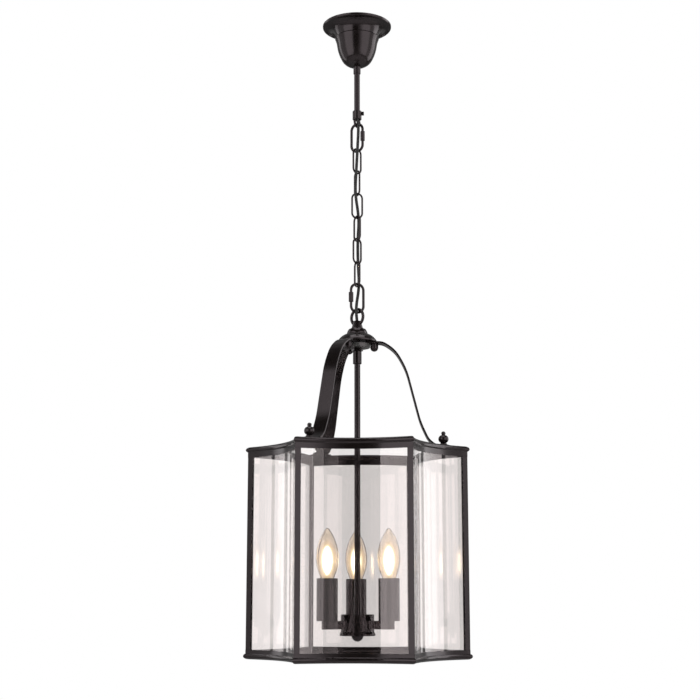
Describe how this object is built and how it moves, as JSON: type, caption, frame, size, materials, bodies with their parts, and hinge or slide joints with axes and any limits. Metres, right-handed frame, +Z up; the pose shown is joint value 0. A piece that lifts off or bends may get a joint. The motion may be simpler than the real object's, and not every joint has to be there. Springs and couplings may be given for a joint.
{
  "type": "hanging lantern",
  "caption": "Hexagonal glass lantern with concave sides and candle lamps inside, hung by scrolled straps on a chain from a ceiling canopy.",
  "frame": {"origin": "middle of the ceiling bracket's top face, where it meets the ceiling", "axes": "+Z up, away from the hanging lantern; +X towards the hexagon corner that strap_a reaches; the lantern hangs along -Z"},
  "size_m": [0.3722, 0.3224, 1.0875],
  "materials": {
    "dark_metal": "satin near-black bronze paint",
    "boss_grey": "satin dark grey",
    "plain_steel": "plain zinc-plated steel",
    "terminal_plastic": "matte off-white",
    "cord_rubber": "matte black sheath",
    "pane_glass": "clear",
    "bulb_glass": "clear, warm when lit",
    "bulb_cap": "bare screw cap",
    "socket_plastic": "matte black"
  },
  "bodies": {
    "ceiling_mount": {"ceiling_bracket": "dark_metal", "bracket_lock_nut": "plain_steel", "terminal_block": "terminal_plastic", "stem_tube": "dark_metal", "stem_loop": "dark_metal", "stem_loop_screw": "dark_metal", "supply_cord": "cord_rubber"},
    "canopy": {"canopy": "dark_metal", "canopy_collar": "dark_metal", "collar_screw": "dark_metal"},
    "top_link": {"top_quick_link": "dark_metal"},
    "top_sleeve": {"top_link_sleeve": "dark_metal"},
    "link_1": {"chain_link_1": "dark_metal"},
    "link_2": {"chain_link_2": "dark_metal"},
    "link_3": {"chain_link_3": "dark_metal"},
    "link_4": {"chain_link_4": "dark_metal"},
    "link_5": {"chain_link_5": "dark_metal"},
    "link_6": {"chain_link_6": "dark_metal"},
    "bottom_link": {"bottom_quick_link": "dark_metal"},
    "bottom_sleeve": {"bottom_link_sleeve": "dark_metal"},
    "lantern": {"hub_loop": "dark_metal", "hub_nipple": "plain_steel", "hub_cap": "dark_metal", "hub_plate": "dark_metal", "strap_bolts": "plain_steel", "cap_nuts": "dark_metal", "hub_boss": "boss_grey", "hub_nut": "dark_metal", "strap_a": "dark_metal", "strap_b": "dark_metal", "strap_c": "dark_metal", "strap_finials": "dark_metal", "finial_nuts": "dark_metal", "rod_coupling": "dark_metal", "down_rod": "dark_metal", "rod_collar": "dark_metal", "cluster_nipple": "plain_steel", "cluster_cup": "dark_metal", "cluster_lid": "dark_metal", "cluster_finial": "dark_metal", "cluster_arms": "dark_metal", "candle_sleeve_a": "dark_metal", "candle_sleeve_b": "dark_metal", "candle_sleeve_c": "dark_metal", "lamp_sockets": "socket_plastic", "top_frame": "dark_metal", "bottom_frame": "dark_metal", "corner_posts": "dark_metal", "glass_pane_1": "pane_glass", "glass_pane_2": "pane_glass", "glass_pane_3": "pane_glass", "glass_pane_4": "pane_glass", "glass_pane_5": "pane_glass", "glass_pane_6": "pane_glass"},
    "bulb_a": {"bulb_glass_a": "bulb_glass", "bulb_cap_a": "bulb_cap"},
    "bulb_b": {"bulb_glass_b": "bulb_glass", "bulb_cap_b": "bulb_cap"},
    "bulb_c": {"bulb_glass_c": "bulb_glass", "bulb_cap_c": "bulb_cap"}
  },
  "joints": [
    {"name": "canopy_slide", "type": "slide", "parent": "ceiling_mount", "child": "canopy", "axis": [0, 0, -1], "range_m": [0, 0.05]},
    {"name": "top_link_swing", "type": "hinge", "parent": "ceiling_mount", "child": "top_link", "pos_m": [0, 0, -0.18505], "axis": [0.4695, 0.8829, 0], "range_deg": [-10, 10], "deforming": ["supply_cord"]},
    {"name": "link_1_swing", "type": "hinge", "parent": "top_link", "child": "link_1", "pos_m": [0, 0, -0.2297], "axis": [0.8829, -0.4695, 0], "range_deg": [-10, 10], "deforming": ["supply_cord"]},
    {"name": "link_2_swing", "type": "hinge", "parent": "link_1", "child": "link_2", "pos_m": [0, 0, -0.26905], "axis": [0.7071, 0.7071, 0], "range_deg": [-10, 10], "deforming": ["supply_cord"]},
    {"name": "link_3_swing", "type": "hinge", "parent": "link_2", "child": "link_3", "pos_m": [0, 0, -0.30905], "axis": [0.5, -0.866, 0], "range_deg": [-10, 10], "deforming": ["supply_cord"]},
    {"name": "link_4_swing", "type": "hinge", "parent": "link_3", "child": "link_4", "pos_m": [0, 0, -0.34905], "axis": [0.9781, 0.2079, 0], "range_deg": [-10, 10], "deforming": ["supply_cord"]},
    {"name": "link_5_swing", "type": "hinge", "parent": "link_4", "child": "link_5", "pos_m": [0, 0, -0.38905], "axis": [0.6018, -0.7986, 0], "range_deg": [-10, 10], "deforming": ["supply_cord"]},
    {"name": "link_6_swing", "type": "hinge", "parent": "link_5", "child": "link_6", "pos_m": [0, 0, -0.42905], "axis": [0.7071, 0.7071, 0], "range_deg": [-10, 10], "deforming": ["supply_cord"]},
    {"name": "bottom_link_swing", "type": "hinge", "parent": "link_6", "child": "bottom_link", "pos_m": [0, 0, -0.46905], "axis": [0.5, -0.866, 0], "range_deg": [-10, 10], "deforming": ["supply_cord"]},
    {"name": "lantern_swing", "type": "hinge", "parent": "bottom_link", "child": "lantern", "pos_m": [0, 0, -0.5142], "axis": [0.9397, 0.342, 0], "range_deg": [-10, 10], "deforming": ["supply_cord"]},
    {"name": "top_sleeve_slide", "type": "slide", "parent": "top_link", "child": "top_sleeve", "axis": [0, 0, -1], "range_m": [0, 0.007]},
    {"name": "bottom_sleeve_slide", "type": "slide", "parent": "bottom_link", "child": "bottom_sleeve", "axis": [0, 0, -1], "range_m": [0, 0.007]},
    {"name": "bulb_a_lift", "type": "slide", "parent": "lantern", "child": "bulb_a", "axis": [0, 0, 1], "range_m": [0, 0.026]},
    {"name": "bulb_b_lift", "type": "slide", "parent": "lantern", "child": "bulb_b", "axis": [0, 0, 1], "range_m": [0, 0.026]},
    {"name": "bulb_c_lift", "type": "slide", "parent": "lantern", "child": "bulb_c", "axis": [0, 0, 1], "range_m": [0, 0.026]}
  ]
}
